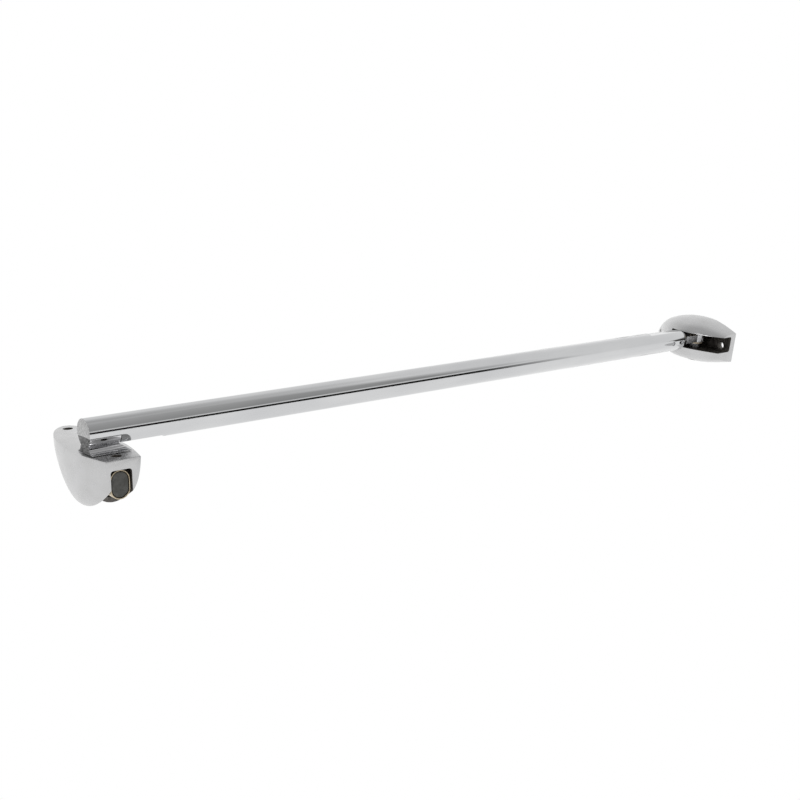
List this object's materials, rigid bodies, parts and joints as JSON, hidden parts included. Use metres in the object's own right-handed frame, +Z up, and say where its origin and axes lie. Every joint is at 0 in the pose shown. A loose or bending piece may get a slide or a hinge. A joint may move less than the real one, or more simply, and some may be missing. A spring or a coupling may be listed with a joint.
{
  "type": "window security bar",
  "caption": "Polished round security bar with a hull-shaped hinge bracket at one end and a sliding, push-button locked saddle bracket at the other.",
  "frame": {"origin": "centre of the rod's near end face", "axes": "+X along the rod towards the hinge bracket, +Z up out of the slide bracket's flange"},
  "size_m": [0.519, 0.0912, 0.0571],
  "materials": {
    "bar_chrome": "polished chrome plate with faint draw lines along the rod",
    "bracket_chrome": "polished casting, slightly soft reflections",
    "saddle_chrome": "polished extrusion with sawn ends",
    "hinge_steel": "machined, satin",
    "pin_steel": "plain turned steel",
    "spring_steel": "drawn wire",
    "brass": "dull turned brass",
    "button_face": "dark grey moulded face"
  },
  "bodies": {
    "hinge_mount": {"hinge_bracket": "bracket_chrome", "pivot_pin": "pin_steel", "thrust_washer_upper": "brass", "thrust_washer_lower": "brass", "spacer_lower": "pin_steel"},
    "bar": {"bar_rod": "bar_chrome", "hinge_tongue": "hinge_steel", "tongue_bush": "brass", "tongue_pin_outer": "pin_steel", "tongue_pin_inner": "pin_steel"},
    "slider": {"slide_bracket": "bracket_chrome", "saddle_rail": "saddle_chrome", "saddle_screw_front": "pin_steel", "saddle_screw_back": "pin_steel", "button_sleeve": "brass", "spring_plate": "pin_steel", "button_spring": "spring_steel"},
    "button": {"push_button": "button_face", "cam_plate": "pin_steel"},
    "lock": {"lock_pin": "pin_steel", "lock_cross_pin": "pin_steel"}
  },
  "joints": [
    {"name": "bar_swing", "type": "hinge", "parent": "hinge_mount", "child": "bar", "pos_m": [0.499, 0, 0], "axis": [0, -0.1392, 0.9903], "range_deg": [0, 45]},
    {"name": "bracket_slide", "type": "slide", "parent": "bar", "child": "slider", "axis": [-1, 0, 0], "range_m": [0, 0.005]},
    {"name": "button_push", "type": "slide", "parent": "slider", "child": "button", "axis": [0, 1, 0], "range_m": [0, 0.0025], "stiffness_N_per_m": 400, "deforming": ["button_spring"]},
    {"name": "lock_draw", "type": "slide", "parent": "slider", "child": "lock", "axis": [0, 0, -1], "range_m": [0, 0.0025]}
  ],
  "couplings": [
    {"joint": "lock_draw", "follows": "button_push", "ratio": 1}
  ]
}
